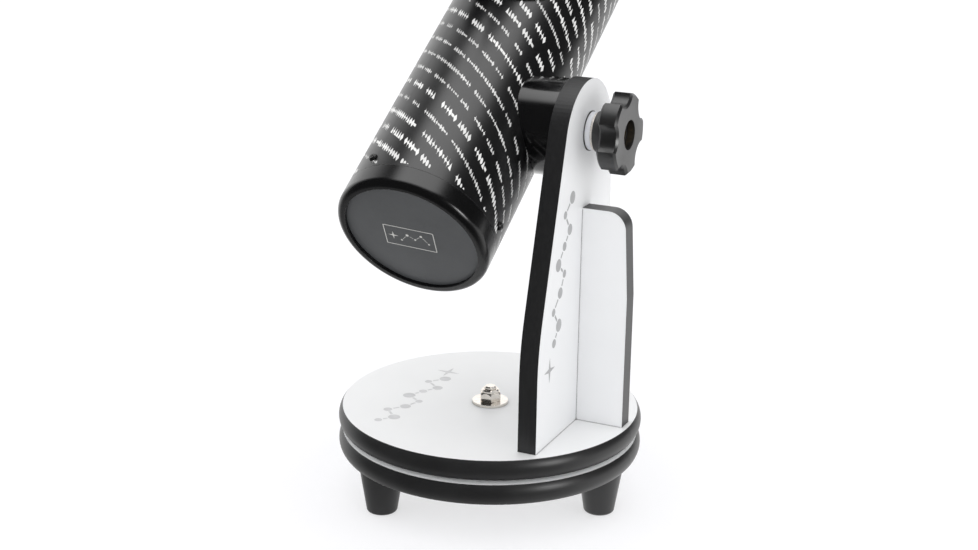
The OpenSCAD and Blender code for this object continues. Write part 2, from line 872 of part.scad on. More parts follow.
// Straight rack let into the drawtube's side, with a gap facing the pinion at rest
module drawtube_rack() {
    teeth_low = shaft_t - rack_teeth / 2 * tooth_pitch;
    base_x = rack_x + tooth_in - eps;
    color("#d8d8d0") focuser_frame() {
        translate([base_x, -rack_half_w, rack_low]) {
            cube([rack_seat_x - 0.1 - base_x, 2 * rack_half_w, rack_len]);
        }
        for (i = [0:rack_teeth]) {
            z = teeth_low + i * tooth_pitch;
            if (z > rack_low + 1 && z < rack_low + rack_len - 1) {
                translate([rack_x, rack_half_w, z]) rotate([90, 0, 0]) rotate([0, 0, 90]) {
                    linear_extrude(2 * rack_half_w) tooth(tooth_out, tooth_in);
                }
            }
        }
    }
}

shaft_half = 34;
pinion_w = 8;

module pinion_shaft() {
    color("silver") at_shaft() {
        translate([0, 0, -shaft_half]) cylinder(r = shaft_r, h = 2 * shaft_half, $fn = 48);
        translate([0, 0, -pinion_w / 2]) cylinder(r = pitch_r - tooth_in + 0.1, h = pinion_w, $fn = 64);
        for (i = [0:pinion_teeth - 1]) {
            rotate([0, 0, i * 360 / pinion_teeth - 90]) translate([0, pitch_r, -pinion_w / 2]) {
                linear_extrude(pinion_w) tooth(tooth_out, tooth_in);
            }
        }
    }
}

focus_knob_r = 15;
focus_knob_w = 13;
focus_knob_y = 18.5;
neck_len = 3;
focus_neck_r = 7;
focus_edge = 1.5;
grip_count = 24;
grip_r = 1.2;

module focus_knob() difference() {
    union() {
        cylinder(r = focus_neck_r, h = neck_len, $fn = 64);
        translate([0, 0, neck_len]) cylinder(r = focus_knob_r, h = focus_knob_w - focus_edge);
        translate([0, 0, neck_len + focus_knob_w - focus_edge]) {
            cylinder(r1 = focus_knob_r, r2 = focus_knob_r - focus_edge, h = focus_edge);
        }
    }
    for (i = [0:grip_count - 1]) rotate([0, 0, i * 360 / grip_count]) {
        translate([focus_knob_r + grip_r / 2, 0, neck_len + 2]) {
            cylinder(r = grip_r, h = focus_knob_w, $fn = 16);
        }
    }
    translate([0, 0, -1]) cylinder(r = shaft_r, h = shaft_half - focus_knob_y + 1, $fn = 48);
}

module focus_knobs() {
    color("#222222") focuser_frame() translate([shaft_x, 0, shaft_t]) {
        for (side = [0, 180]) rotate([90, 0, side]) translate([0, 0, focus_knob_y]) focus_knob();
    }
}

thumb_r = 4.4;
thumb_h = 6;
thumb_grips = 16;
thumb_grip_r = 0.55;

module thumbscrew() {
    tip = eyepiece_r + 0.02;
    head = draw_head_r + 1;
    color("silver") focuser_frame() translate([0, 0, thumb_t]) rotate([90, 0, 0]) {
        translate([0, 0, tip]) cylinder(r = small_screw_r, h = head + 1 - tip, $fn = 32);
        translate([0, 0, head]) difference() {
            cylinder(r = thumb_r, h = thumb_h, $fn = 48);
            for (i = [0:thumb_grips - 1]) rotate([0, 0, i * 360 / thumb_grips]) {
                translate([thumb_r + 0.3, 0, -1]) cylinder(r = thumb_grip_r, h = thumb_h + 2, $fn = 12);
            }
        }
    }
}

// Eyepiece, seated in the drawtube
barrel_len = 24;
barrel_wall = 1.3;
barrel_rim_t = 2;
body_r = 13.4;
body_base_h = 7;
body_cone_h = 7;
body_neck_h = 5;
field_lens_r = 10;
field_lens_t = 4;
eye_lens_r = 6;
eye_lens_t = 3;
lens_gap = 0.02;
cup_t = draw_top + barrel_rim_t + body_base_h + body_cone_h + 1;
cup_h = 6.5;
cup_edge = 1;

module eyepiece_barrel() {
    color("silver") focuser_frame() {
        translate([0, 0, draw_top - barrel_len]) ring(eyepiece_r, eyepiece_r - barrel_wall, barrel_len);
        translate([0, 0, draw_top]) ring(eyepiece_r + 0.9, field_lens_r + 1.4, barrel_rim_t);
    }
}

module field_lens() {
    color("lightblue") focuser_frame() translate([0, 0, draw_top + barrel_rim_t]) {
        cylinder(r = field_lens_r, h = field_lens_t, $fn = 64);
    }
}

module eyepiece_body() {
    neck_r = body_r - 1;
    neck_low = body_base_h + body_cone_h;
    color("#1c1c1c") focuser_frame() translate([0, 0, draw_top + barrel_rim_t]) difference() {
        union() {
            cylinder(r = body_r + 2, h = body_base_h, $fn = 96);
            translate([0, 0, body_base_h]) {
                cylinder(r1 = body_r + 2, r2 = neck_r, h = body_cone_h, $fn = 96);
            }
            translate([0, 0, neck_low]) cylinder(r = neck_r, h = body_neck_h, $fn = 96);
        }
        translate([0, 0, -1]) cylinder(r = field_lens_r + lens_gap, h = neck_low - 2, $fn = 64);
        cylinder(r = eye_lens_r + lens_gap, h = neck_low + body_neck_h + 1, $fn = 64);
    }
}

module eye_lens() {
    color("lightblue") focuser_frame() translate([0, 0, cup_t]) {
        cylinder(r = eye_lens_r, h = eye_lens_t, $fn = 64);
    }
}

module eyecup() {
    color("#2a2a2a") focuser_frame() translate([0, 0, cup_t]) difference() {
        union() {
            cylinder(r = body_r, h = cup_h, $fn = 96);
            translate([0, 0, cup_h]) cylinder(r1 = body_r, r2 = body_r - cup_edge, h = cup_edge, $fn = 96);
        }
        translate([0, 0, -1]) cylinder(r = body_r - 1, h = body_neck_h, $fn = 96);
        cylinder(r1 = eye_lens_r + 1.5, r2 = body_r - 2.9, h = cup_h + cup_edge + 0.1, $fn = 96);
    }
}

// Each piece is drawn by its name
ground_board();
ground_rim();
feet();
foot_screws();
glide_pads();
azimuth_bolt();
azimuth_washer();
azimuth_nut();
rocker_board();
rocker_rim();
azimuth_bush();
arm_panel();
arm_edge_band();
brace_panel();
brace_edge_band();
panel_screws();
brace_screws();
altitude_bush();
tube();
rear_cell();
rear_panel();
rear_cell_screws();
primary_mirror();
mirror_pads();
mirror_clips();
clip_screws();
front_ring();
front_ring_screws();
spider();
spider_screws();
secondary_holder();
secondary_mirror();
collimation_screws();
saddle();
saddle_screws();
altitude_stud();
friction_disc();
rubber_washer();
nylon_washer();
steel_washer();
focuser_base();
focuser_screws();
pinion_cover();
pinion_cover_screws();
clutch_knob();
knob_insert();
drawtube();
drawtube_rack();
pinion_shaft();
focus_knobs();
thumbscrew();
eyepiece_barrel();
field_lens();
eyepiece_body();
eye_lens();
eyecup();
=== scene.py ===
"""Looks of the tabletop dobsonian telescope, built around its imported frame."""
import json
import math

import bmesh
import bpy
from mathutils import Matrix, Vector


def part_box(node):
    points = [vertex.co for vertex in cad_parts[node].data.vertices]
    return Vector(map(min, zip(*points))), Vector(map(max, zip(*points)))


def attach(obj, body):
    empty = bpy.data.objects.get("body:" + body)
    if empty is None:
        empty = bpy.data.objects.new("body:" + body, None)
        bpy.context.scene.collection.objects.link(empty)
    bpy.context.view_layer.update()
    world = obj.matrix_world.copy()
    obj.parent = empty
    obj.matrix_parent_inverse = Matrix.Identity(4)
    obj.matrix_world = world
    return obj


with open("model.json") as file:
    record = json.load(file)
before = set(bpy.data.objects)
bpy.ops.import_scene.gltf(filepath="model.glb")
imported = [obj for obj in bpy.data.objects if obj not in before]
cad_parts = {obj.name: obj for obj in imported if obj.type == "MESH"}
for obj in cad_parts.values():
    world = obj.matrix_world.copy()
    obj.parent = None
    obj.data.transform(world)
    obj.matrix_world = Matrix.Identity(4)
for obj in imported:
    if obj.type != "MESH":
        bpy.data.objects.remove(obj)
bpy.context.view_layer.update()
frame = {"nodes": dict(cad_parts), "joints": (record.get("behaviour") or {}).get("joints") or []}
nodes = frame["nodes"]
joints = {j["name"]: j for j in frame["joints"]}

MM = 0.001
X, Y, Z = Vector((1, 0, 0)), Vector((0, 1, 0)), Vector((0, 0, 1))

# ---------------------------------------------------------------- places, from the frame
azimuth_axis = Vector(joints["azimuth_turn"]["pos_m"])
altitude_axis = Vector(joints["altitude_turn"]["pos_m"])
out_of_tube = -Vector(joints["focus_travel"]["axis"])      # towards the eyepiece
along_tube = out_of_tube.cross(X).normalized()             # towards the open end
if along_tube.y < 0:
    along_tube = -along_tube


def middle(node):
    low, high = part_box(node)
    return (low + high) / 2


def span_along(node, origin, axis):
    """(least, greatest) distance of a node's points from origin along axis."""
    values = [(v.co - origin).dot(axis) for v in nodes[node].data.vertices]
    return min(values), max(values)


tube_radius = (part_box("tube")[1].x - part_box("tube")[0].x) / 2
tube_origin = Vector((middle("tube").x, altitude_axis.y, altitude_axis.z))
tube_rear_s, tube_front_s = span_along("tube", tube_origin, along_tube)
panel_rear_s = span_along("rear_panel", tube_origin, along_tube)[0]
deck_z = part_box("rocker_board")[1].z
arm_out_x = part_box("arm_panel")[1].x

# ---------------------------------------------------------------- material graph helper
NOISE_LOW, NOISE_HIGH = 0.3, 0.7       # most of a noise's values lie between these
FLAT_COSINE, EDGE_COSINE = 0.99, 0.8   # between the true and the rounded normal, off and on an edge


class Graph:
    """A few short calls for building a node material."""

    def __init__(self, name):
        self.material = bpy.data.materials.new(name)
        self.material.use_nodes = True
        self.tree = self.material.node_tree
        self.start("ShaderNodeOutputMaterial", "ShaderNodeBsdfPrincipled")

    def start(self, output, shader):
        self.tree.nodes.clear()
        self.out = self.tree.nodes.new(output)
        self.shader = self.tree.nodes.new(shader)
        self.tree.links.new(self.shader.outputs[0], self.out.inputs["Surface"])
        self._coords = None

    def put(self, socket, value):
        if isinstance(value, bpy.types.NodeSocket):
            self.tree.links.new(value, socket)
        elif value is not None:
            if socket.type == "RGBA" and len(value) == 3:
                value = (*value, 1.0)
            socket.default_value = value

    def node(self, kind, props=None, **inputs):
        made = self.tree.nodes.new(kind)
        for key, value in (props or {}).items():
            setattr(made, key, value)
        for key, value in inputs.items():
            self.put(made.inputs[key.replace("_", " ")], value)
        return made

    def math(self, op, a, b=None):
        made = self.node("ShaderNodeMath", {"operation": op})
        for socket, value in zip(made.inputs, (a, b)):
            self.put(socket, value)
        return made.outputs[0]

    def add(self, a, b):
        return self.math("ADD", a, b)

    def times(self, a, b):
        return self.math("MULTIPLY", a, b)

    def over(self, a, b):
        """1 where a is greater than b, else 0."""
        return self.math("GREATER_THAN", a, b)

    def vector(self, op, a, b=None, scale=None):
        made = self.node("ShaderNodeVectorMath", {"operation": op})
        self.put(made.inputs[0], a)
        self.put(made.inputs[1], b)
        if scale is not None:
            self.put(made.inputs["Scale"], scale)
        return made.outputs["Value" if op in ("DOT_PRODUCT", "LENGTH") else "Vector"]

    def dot(self, place, axis):
        return self.vector("DOT_PRODUCT", place, tuple(axis))

    def combine(self, x=0.0, y=0.0, z=0.0):
        return self.node("ShaderNodeCombineXYZ", X=x, Y=y, Z=z).outputs[0]

    def coords(self):
        """Position in the row frame at rest, in metres."""
        if self._coords is None:
            self._coords = self.tree.nodes.new("ShaderNodeTexCoord").outputs["Object"]
        return self._coords

    def coords_from(self, origin):
        return self.vector("SUBTRACT", self.coords(), tuple(origin))

    def geometry(self, output):
        return self.tree.nodes.new("ShaderNodeNewGeometry").outputs[output]

    def ray(self):
        """The light path's outputs, by name."""
        return self.node("ShaderNodeLightPath").outputs

    def noise(self, size_mm, detail=3.0, rough=0.55, vector=None, seed=0.0):
        made = self.node("ShaderNodeTexNoise", {"noise_dimensions": "4D"})
        self.put(made.inputs["Vector"], self.coords() if vector is None else vector)
        self.put(made.inputs["W"], seed)
        self.put(made.inputs["Scale"], 1.0 / (size_mm * MM))
        self.put(made.inputs["Detail"], detail)
        self.put(made.inputs["Roughness"], rough)
        return made.outputs["Fac"]

    def remap(self, value, low, high, to_low=0.0, to_high=1.0, smooth=False):
        made = self.node("ShaderNodeMapRange", {"interpolation_type": "SMOOTHSTEP" if smooth else "LINEAR"})
        for socket, item in zip(made.inputs, (value, low, high, to_low, to_high)):
            self.put(socket, item)
        return made.outputs[0]

    def spread(self, noise, to_low=0.0, to_high=1.0):
        """A noise's usual values, stretched over a range."""
        return self.remap(noise, NOISE_LOW, NOISE_HIGH, to_low, to_high)

    def pick(self, share, off, on):
        """off where share is 0, on where it is 1."""
        return self.remap(share, 0.0, 1.0, off, on)

    def mix(self, share, a, b, mode="MIX"):
        made = self.node("ShaderNodeMix", {"data_type": "RGBA", "blend_type": mode})
        self.put(made.inputs[0], share)
        self.put(made.inputs[6], a)
        self.put(made.inputs[7], b)
        return made.outputs[2]

    def set(self, **inputs):
        for key, value in inputs.items():
            self.put(self.shader.inputs[key.replace("_", " ")], value)

    def bump(self, height, depth_mm, normal=None):
        made = self.node("ShaderNodeBump", Strength=1.0, Distance=depth_mm * MM, Height=height, Normal=normal)
        return made.outputs[0]

    def edges(self, width_mm):
        """(rounded normal, how much of an edge this is from 0 to 1)"""
        bevel = self.node("ShaderNodeBevel", {"samples": 4}, Radius=width_mm * MM).outputs[0]
        facing = self.vector("DOT_PRODUCT", bevel, self.geometry("Normal"))
        return bevel, self.remap(facing, FLAT_COSINE, EDGE_COSINE)


def shade(color, factor):
    return tuple(min(1.0, c * factor) for c in color)


def grey(level):
    return (level, level, level)


WHITE = grey(1.0)


# ---------------------------------------------------------------- materials
CLOUD_MM, SMUDGE_MM, WEAR_MM = 45.0, 28.0, 6.0
GRAIN_SHARE, CLOUD_SHARE = 0.4, 0.6


def finished(name, color, rough, metallic=0.0, grain_mm=0.6, depth_mm=0.01, vary=0.12,
             edge=None, edge_mm=0.4, seed=0.0, **extra):
    """A surface with colour variation, grain, uneven gloss and worn edges."""
    g = Graph(name)
    grain = g.noise(grain_mm, 4.0, 0.6, seed=seed)
    cloud = g.noise(CLOUD_MM, 3.0, 0.6, seed=seed + 7.0)
    tone = g.spread(g.add(g.times(grain, GRAIN_SHARE), g.times(cloud, CLOUD_SHARE)))
    base = g.mix(tone, shade(color, 1.0 - vary), shade(color, 1.0 + vary))
    smudge = g.noise(SMUDGE_MM, 5.0, 0.7, seed=seed + 3.0)
    gloss = g.remap(smudge, 0.35, 0.7, rough * 0.88, rough * 1.15)
    normal, worn = g.edges(edge_mm)
    if edge is not None:
        patchy = g.remap(g.noise(WEAR_MM, 4.0, 0.7, seed=seed + 5.0), 0.4, 0.65, 0.15, 0.8)
        base = g.mix(g.times(worn, patchy), base, edge)
    g.set(Base_Color=base, Roughness=gloss, Metallic=metallic,
          Normal=g.bump(grain, depth_mm, normal), **extra)
    return g.material


# Painted shade: ambient occlusion darkens the laminate's colour in the creases where panels meet.
CREASE_SHADE_REACH = 1.7 * MM
CREASE_SHADE_AO_CLOSED, CREASE_SHADE_AO_OPEN = 0.52, 0.78  # ambient occlusion in the crease and out of it
CREASE_SHADE_DARKEST = 0.4


def painted_crease_shade(g):
    """Painted shade: 1 on open surface, falling to the darkest share in the crease where two panels meet, by
    ambient occlusion.
    """
    crease = g.node("ShaderNodeAmbientOcclusion", {"samples": 8}, Distance=CREASE_SHADE_REACH)
    return g.remap(crease.outputs["AO"], CREASE_SHADE_AO_CLOSED, CREASE_SHADE_AO_OPEN, CREASE_SHADE_DARKEST, 1.0, True)


SCUFF_STRETCH = (1.0, 0.12, 1.0)
SCUFF_STRENGTH = 0.18


def laminate(name, color, seed):
    """White melamine: a fine pearl texture, faint handling marks, and painted shade darkening each crease."""
    g = Graph(name)
    pearl = g.noise(0.9, 3.0, 0.5, seed=seed)
    cloud = g.spread(g.noise(70.0, 3.0, 0.6, seed=seed + 1.0))
    base = g.mix(cloud, shade(color, 0.985), shade(color, 1.015))
    scuff_place = g.remap(g.noise(55.0, 2.0, 0.5, seed=seed + 2.0), 0.56, 0.66)
    streaks = g.vector("MULTIPLY", g.coords(), SCUFF_STRETCH)
    scuff = g.times(scuff_place, g.remap(g.noise(1.3, 4.0, 0.7, streaks, seed), 0.6, 0.72))
    base = g.mix(g.times(scuff, SCUFF_STRENGTH), base, shade(color, 0.85))
    # painted shade: the colour darkens in each crease, where ambient occlusion finds a panel close by
    base = g.mix(painted_crease_shade(g), shade(color, 0.2), base)
    rough = g.add(g.spread(pearl, 0.36, 0.44), g.times(scuff, 0.15))
    normal, _ = g.edges(0.3)
    g.set(Base_Color=base, Roughness=rough, Normal=g.bump(pearl, 0.005, normal), Specular_IOR_Level=0.35)
    return g.material


RIM_DARK, RIM_LIGHT = (0.0125, 0.0125, 0.0132), (0.0190, 0.0190, 0.0198)


def rim_plastic():
    """Extruded edging: fine lines that run round the board, and a soft sheen."""
    g = Graph("rim_plastic")
    place = g.coords_from(azimuth_axis)
    radius = g.vector("LENGTH", g.vector("MULTIPLY", place, (1.0, 1.0, 0.0)))
    height = g.dot(place, Z)
    lines = g.noise(0.35, 3.0, 0.6, g.combine(radius, height))
    pores = g.noise(0.5, 4.0, 0.65)
    base = g.mix(g.spread(g.noise(30.0, 4.0, 0.6)), RIM_DARK, RIM_LIGHT)
    rough = g.remap(g.add(lines, pores), 0.7, 1.3, 0.32, 0.44)
    relief = g.add(g.times(lines, 0.8), g.times(pores, 0.5))
    normal, worn = g.edges(0.5)
    base = g.mix(g.times(worn, 0.3), base, grey(0.06))
    g.set(Base_Color=base, Roughness=rough, Normal=g.bump(relief, 0.012, normal))
    return g.material


TAPE_STRETCH = (1.0, 1.0, 0.04)
FACE_COSINE = 0.9      # a face this close to the panel's own direction counts as its face


def edge_tape(name, dark, light, face, face_axis, seed):
    """Dark edge banding with lines across it, white like the panel where it turns onto its face."""
    g = Graph(name)
    lines = g.noise(0.9, 4.0, 0.7, g.vector("MULTIPLY", g.coords(), TAPE_STRETCH), seed)
    pores = g.noise(0.5, 3.0, 0.6, seed=seed + 2.0)
    base = g.mix(g.spread(lines), dark, light)
    normal, worn = g.edges(0.35)
    patchy = g.remap(g.noise(3.0, 4.0, 0.7, seed=seed + 4.0), 0.5, 0.6, 0.1, 0.5)
    base = g.mix(g.times(worn, patchy), base, shade(light, 2.2))
    facing = g.math("ABSOLUTE", g.dot(g.geometry("True Normal"), face_axis))
    base = g.mix(g.over(facing, FACE_COSINE), base, face)
    relief = g.add(lines, g.times(pores, 0.4))
    g.set(Base_Color=base, Roughness=g.spread(lines, 0.34, 0.46), Normal=g.bump(relief, 0.014, normal))
    return g.material


# Rows of the tube's print run round it as a many-start helix, some bold and some thin.
# A row is a run of cells with one mark each, cut into words of uneven length.
PRINT_STARTS = 16
PRINT_PHASE = 0.05
PRINT_PITCH = 13.73 * MM
PRINT_MARGIN = 2.0 * MM
OUTER_SKIN = 0.3 * MM
BOLD_CELL, THIN_CELL = 2.7 * MM, 2.2 * MM
BOLD_HEIGHT, THIN_HEIGHT = 4.5 * MM, 3.0 * MM
THIN_SHARE = 0.42
ROW_SHIFT = 300.0
MARK_FILL = 1.02
WORD_CELLS = 7.0
SHORT_WORD, LONG_WORD = 3.6, WORD_CELLS - 0.1
WORD_DRAW, CELL_DRAW, ROW_DRAW = 1.0, 2.0, 3.0     # keep the three random draws apart
PALE_INK, FULL_INK, BOLD_INK = 0.60, 0.80, 0.20
MARK_SOFTNESS = 0.035
STAR_REACH, DISC_RADIUS, DOT_RADIUS, DIAMOND_REACH = 0.86, 0.42, 0.27, 0.57
TRIANGLE_REACH, TRIANGLE_FOOT = 0.28, 0.42
DASH_LENGTH, DASH_WIDTH = 0.46, 0.19


def tube_place(g):
    """(distance along the tube, angle from its top in turns, 1 on its outer face)"""
    place = g.coords_from(tube_origin)
    along, side, up = g.dot(place, along_tube), g.dot(place, X), g.dot(place, out_of_tube)
    turns = g.math("DIVIDE", g.math("ARCTAN2", side, up), math.tau)
    radius = g.vector("LENGTH", g.combine(side, up))
    return along, turns, g.over(radius, tube_radius - OUTER_SKIN)


def below(g, value, limit):
    """1 where value is under limit, with a narrow soft edge."""
    return g.remap(value, limit - MARK_SOFTNESS, limit + MARK_SOFTNESS, 1.0, 0.0)


def random_of(g, *values):
    """White noise from three numbers, as a colour and a value."""
    return g.node("ShaderNodeTexWhiteNoise", {"noise_dimensions": "3D"}, Vector=g.combine(*values)).outputs


def mark_shapes(g, x, y):
    """The marks, each in a cell one unit wide and high. A star and a diamond come twice."""
    side, rise = g.math("ABSOLUTE", x), g.math("ABSOLUTE", y)
    far = g.math("SQRT", g.add(g.math("POWER", side, 2.0), g.math("POWER", rise, 2.0)))
    star = below(g, g.add(g.math("SQRT", side), g.math("SQRT", rise)), STAR_REACH)
    disc = below(g, far, DISC_RADIUS)
    diamond = below(g, g.add(side, rise), DIAMOND_REACH)
    slope = g.add(side, g.times(y, 0.5))
    triangle = g.times(below(g, slope, TRIANGLE_REACH), below(g, g.times(y, -1.0), TRIANGLE_FOOT))
    dash = g.times(below(g, side, DASH_LENGTH), below(g, rise, DASH_WIDTH))
    dot = below(g, far, DOT_RADIUS)
    return star, disc, diamond, triangle, star, dash, diamond, dot


def chosen_mark(g, shapes, draw):
    """The one shape that a random draw from 0 to 1 falls on."""
    mask = 0.0
    for i, shape in enumerate(shapes):
        low, high = i / len(shapes), (i + 1) / len(shapes)
        chosen = g.times(g.over(draw, low), g.math("SUBTRACT", 1.0, g.over(draw, high)))
        mask = g.add(g.times(shape, chosen), mask)
    return mask


def print_mask(g, along, turns):
    """How much ink there is: rows of small marks in words of uneven length."""
    row = g.add(g.math("DIVIDE", along, PRINT_PITCH), g.times(turns, PRINT_STARTS))
    row = g.add(row, PRINT_PHASE)
    row_index = g.math("FLOOR", row)
    row_random = random_of(g, row_index, ROW_DRAW, 0.0)["Value"]
    bold = g.over(row_random, THIN_SHARE)
    slant = math.hypot(math.tau * tube_radius, PRINT_STARTS * PRINT_PITCH)
    lean = math.tau * tube_radius / slant
    run = g.math("DIVIDE", g.times(turns, slant), g.pick(bold, THIN_CELL, BOLD_CELL))
    run = g.add(run, g.times(row_random, ROW_SHIFT))
    cell = g.math("FLOOR", run)
    word = g.math("FLOOR", g.math("DIVIDE", run, WORD_CELLS))
    word_color = random_of(g, word, row_index, WORD_DRAW)["Color"]
    word_random = g.node("ShaderNodeSeparateColor", Color=word_color).outputs
    cell_random = random_of(g, cell, row_index, CELL_DRAW)["Value"]
    x = g.times(g.math("SUBTRACT", g.math("FRACT", run), 0.5), MARK_FILL)
    y = g.math("SUBTRACT", g.math("FRACT", row), 0.5)
    y = g.math("DIVIDE", g.times(y, PRINT_PITCH * lean), g.pick(bold, THIN_HEIGHT, BOLD_HEIGHT))
    mask = chosen_mark(g, mark_shapes(g, x, y), cell_random)
    place_in_word = g.math("SUBTRACT", cell, g.times(word, WORD_CELLS))
    length = g.pick(word_random[0], SHORT_WORD, LONG_WORD)
    mask = g.times(mask, g.math("LESS_THAN", place_in_word, length))
    mask = g.times(mask, g.over(along, tube_rear_s + PRINT_MARGIN))
    mask = g.times(mask, g.math("LESS_THAN", along, tube_front_s - PRINT_MARGIN))
    ink = g.add(g.pick(word_random[1], PALE_INK, FULL_INK), g.times(bold, BOLD_INK))
    return g.times(mask, ink)


ENAMEL_DARK, ENAMEL_LIGHT = (0.0040, 0.0040, 0.0046), (0.0064, 0.0064, 0.0068)
PRINT_WHITE = (0.90, 0.90, 0.89)
INSIDE_ROUGH = 0.8


def tube_paint():
    """Satin black enamel with a fine orange peel under the pale print, and matt inside."""
    g = Graph("tube_paint")
    peel = g.noise(0.9, 2.0, 0.5)
    base = g.mix(g.spread(g.noise(60.0, 4.0, 0.6)), ENAMEL_DARK, ENAMEL_LIGHT)
    along, turns, outside = tube_place(g)
    mask = g.times(print_mask(g, along, turns), outside)
    base = g.mix(mask, base, PRINT_WHITE)
    normal, _ = g.edges(0.3)
    rough = g.add(g.spread(g.noise(25.0, 5.0, 0.7), 0.27, 0.34), g.times(mask, 0.2))
    relief = g.add(g.times(peel, 0.4), g.times(mask, 0.5))
    g.set(Base_Color=base, Roughness=g.pick(outside, INSIDE_ROUGH, rough),
          Normal=g.bump(relief, 0.006, normal), Specular_IOR_Level=0.55)
    return g.material


def turned_metal(name, color, rough, centre, axis, seed):
    """Metal with turning rings round an axis."""
    g = Graph(name)
    place = g.coords_from(centre)
    height = g.dot(place, axis)
    radius = g.vector("LENGTH", g.vector("SUBTRACT", place, g.vector("SCALE", tuple(axis), None, height)))
    rings = g.noise(0.18, 2.0, 0.6, g.combine(radius, height), seed)
    blotch = g.noise(4.0, 4.0, 0.6, seed=seed + 1.0)
    base = g.mix(g.spread(blotch), shade(color, 0.88), shade(color, 1.08))
    normal, worn = g.edges(0.25)
    base = g.mix(g.times(worn, 0.4), base, shade(color, 1.3))
    gloss = g.add(g.spread(rings, rough * 0.8, rough * 1.2), g.times(blotch, 0.05))
    g.set(Base_Color=base, Metallic=1.0, Roughness=gloss, Normal=g.bump(rings, 0.004, normal),
          Anisotropic=0.4)
    return g.material


def mirror_coat():
    """Aluminised glass with a little haze and dust."""
    g = Graph("mirror_coat")
    dust = g.remap(g.noise(0.7, 4.0, 0.8), 0.68, 0.75)
    haze = g.noise(18.0, 4.0, 0.6)
    base = g.mix(g.times(dust, 0.3), (0.90, 0.92, 0.94), grey(0.6))
    g.set(Base_Color=base, Metallic=1.0, Roughness=g.add(g.spread(haze, 0.01, 0.035), g.times(dust, 0.2)))
    return g.material


def lens_glass():
    """Coated glass with a faint smear."""
    g = Graph("lens_glass")
    smear = g.noise(3.0, 4.0, 0.6)
    g.set(Base_Color=g.mix(smear, (0.93, 0.97, 0.96), (0.97, 0.96, 0.99)),
          Roughness=g.spread(smear, 0.0, 0.03), Transmission_Weight=0.95, IOR=1.52,
          Coat_Weight=0.6, Coat_Tint=(0.55, 0.75, 0.6))
    return g.material


def felt():
    g = Graph("felt_pad")
    fibre = g.noise(0.35, 6.0, 0.8)
    g.set(Base_Color=g.mix(fibre, (0.015, 0.015, 0.016), grey(0.07)), Roughness=0.95,
          Normal=g.bump(fibre, 0.15), Sheen_Weight=0.4)
    return g.material


DECK_WHITE = (0.875, 0.88, 0.885)
SIDE_WHITE = (0.875, 0.882, 0.895)
NICKEL = (0.86, 0.81, 0.75)

laminate_deck = laminate("laminate_deck", DECK_WHITE, 1.0)
laminate_side = laminate("laminate_side", SIDE_WHITE, 4.0)
rim = rim_plastic()
arm_tape = edge_tape("arm_tape", (0.011, 0.011, 0.012), (0.020, 0.020, 0.021), SIDE_WHITE, X, 2.0)
brace_tape = edge_tape("brace_tape", (0.020, 0.020, 0.021), (0.042, 0.042, 0.043), SIDE_WHITE, Y, 9.0)
paint = tube_paint()
foot_plastic = finished("foot_plastic", (0.019, 0.019, 0.020), 0.38, grain_mm=0.5, depth_mm=0.03,
                        vary=0.25, edge=grey(0.08), seed=11)
cell_plastic = finished("cell_plastic", (0.0032, 0.0032, 0.0036), 0.24, grain_mm=0.7, depth_mm=0.012,
                        vary=0.2, edge=grey(0.07), seed=12)
panel_plastic = finished("panel_plastic", (0.070, 0.073, 0.077), 0.45, grain_mm=0.35, depth_mm=0.02,
                         seed=13)
body_plastic = finished("body_plastic", (0.010, 0.010, 0.011), 0.38, grain_mm=0.5, depth_mm=0.025,
                        vary=0.25, edge=grey(0.08), seed=14)
knob_plastic = finished("knob_plastic", (0.0085, 0.0085, 0.0090), 0.36, grain_mm=0.5, depth_mm=0.012,
                        vary=0.2, edge=grey(0.03), seed=15, Specular_IOR_Level=0.9)
hub_plastic = finished("hub_plastic", (0.0030, 0.0030, 0.0034), 0.16, grain_mm=1.2, depth_mm=0.004,
                       vary=0.2, edge=grey(0.05), seed=16, Coat_Weight=0.6, Coat_Roughness=0.06)
flat_black = finished("flat_black", grey(0.016), 0.7, grain_mm=0.4, depth_mm=0.03,
                      vary=0.3, edge=grey(0.10), seed=17)
nylon = finished("nylon", (0.79, 0.80, 0.84), 0.42, vary=0.05, seed=18,
                 Subsurface_Weight=0.15, Subsurface_Radius=grey(0.002))
zinc = finished("zinc", (0.60, 0.60, 0.61), 0.32, 1.0, grain_mm=0.3, depth_mm=0.004,
                edge=grey(0.85), edge_mm=0.2, seed=19)
black_oxide = finished("black_oxide", grey(0.03), 0.35, 0.8, grain_mm=0.3, depth_mm=0.006,
                       vary=0.3, edge=grey(0.25), edge_mm=0.2, seed=20)
soft_rubber = finished("soft_rubber", grey(0.025), 0.75, grain_mm=0.3, depth_mm=0.04,
                       vary=0.3, edge=grey(0.07), seed=21)
nickel_bolt = turned_metal("nickel_bolt", NICKEL, 0.16, azimuth_axis, Z, 22)
nickel_side = turned_metal("nickel_side", NICKEL, 0.20, altitude_axis, X, 23)
nickel_eyepiece = turned_metal("nickel_eyepiece", grey(0.78), 0.12, middle("drawtube"), out_of_tube, 24)
brass = turned_metal("brass", (0.80, 0.58, 0.27), 0.22, altitude_axis, X, 25)

